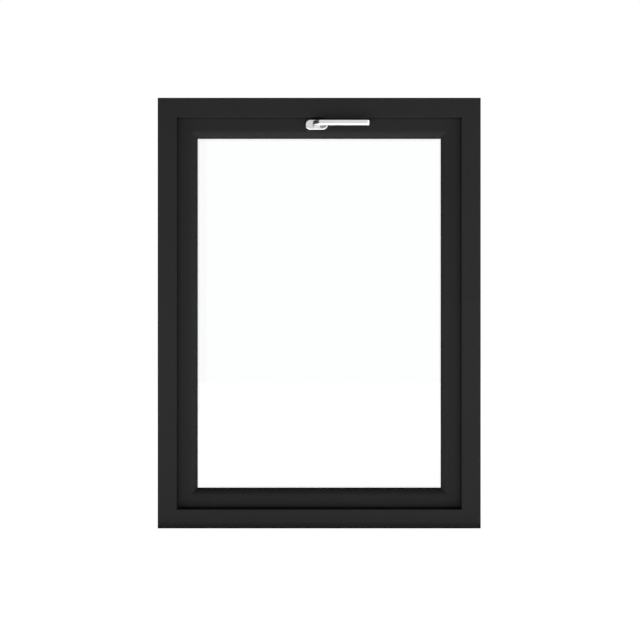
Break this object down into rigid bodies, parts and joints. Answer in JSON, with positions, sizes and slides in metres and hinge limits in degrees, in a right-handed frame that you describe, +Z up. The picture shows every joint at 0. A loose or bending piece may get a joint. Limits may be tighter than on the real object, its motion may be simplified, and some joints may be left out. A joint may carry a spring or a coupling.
{
  "type": "bottom hung window",
  "caption": "Dark coated bottom hung window: mitred frame, inward tilting sash with sealed double glazing and curved beads, and a silver lever handle on the top rail.",
  "frame": {"origin": "centre of the flat face on which the frame stands in its wall opening, midway in its depth", "axes": "+Z up along the frame's height, +X to the right seen from the room, +Y towards the outdoors"},
  "size_m": [0.9, 0.1095, 1.2],
  "materials": {
    "frame_coating": "matt dark powder coat",
    "clear_glass": "clear float glass",
    "spacer_bar": "mill",
    "seal_rubber": "matt",
    "cap_plastic": "moulded",
    "fitting_steel": "zinc plated",
    "handle_silver": "satin anodised"
  },
  "bodies": {
    "frame": {"frame_head": "frame_coating", "frame_sill": "frame_coating", "frame_jamb_left": "frame_coating", "frame_jamb_right": "frame_coating", "frame_seal": "seal_rubber", "drain_cap_left": "cap_plastic", "hinge_bracket_left": "frame_coating", "hinge_pin_left": "fitting_steel", "drain_cap_right": "cap_plastic", "hinge_bracket_right": "frame_coating", "hinge_pin_right": "fitting_steel"},
    "sash": {"sash_top_rail": "frame_coating", "sash_bottom_rail": "frame_coating", "sash_left_stile": "frame_coating", "sash_right_stile": "frame_coating", "glazing_bead_top": "frame_coating", "glazing_bead_bottom": "frame_coating", "glazing_bead_left": "frame_coating", "glazing_bead_right": "frame_coating", "inner_pane": "clear_glass", "outer_pane": "clear_glass", "glazing_spacer": "spacer_bar", "inner_glazing_gasket": "seal_rubber", "outer_glazing_gasket": "seal_rubber", "hinge_leaf_left": "frame_coating", "hinge_leaf_right": "frame_coating", "espagnolette_faceplate": "fitting_steel", "handle_rose": "handle_silver"},
    "handle": {"handle_lever": "handle_silver", "handle_spindle": "fitting_steel"}
  },
  "joints": [
    {"name": "sash_tilt", "type": "hinge", "parent": "frame", "child": "sash", "pos_m": [0, -0.0145, 0.0575], "axis": [1, 0, 0], "range_deg": [0, 15]},
    {"name": "handle_turn", "type": "hinge", "parent": "sash", "child": "handle", "pos_m": [-0.0075, -0.042, 1.1277], "axis": [0, 1, 0], "range_deg": [0, 90]}
  ]
}
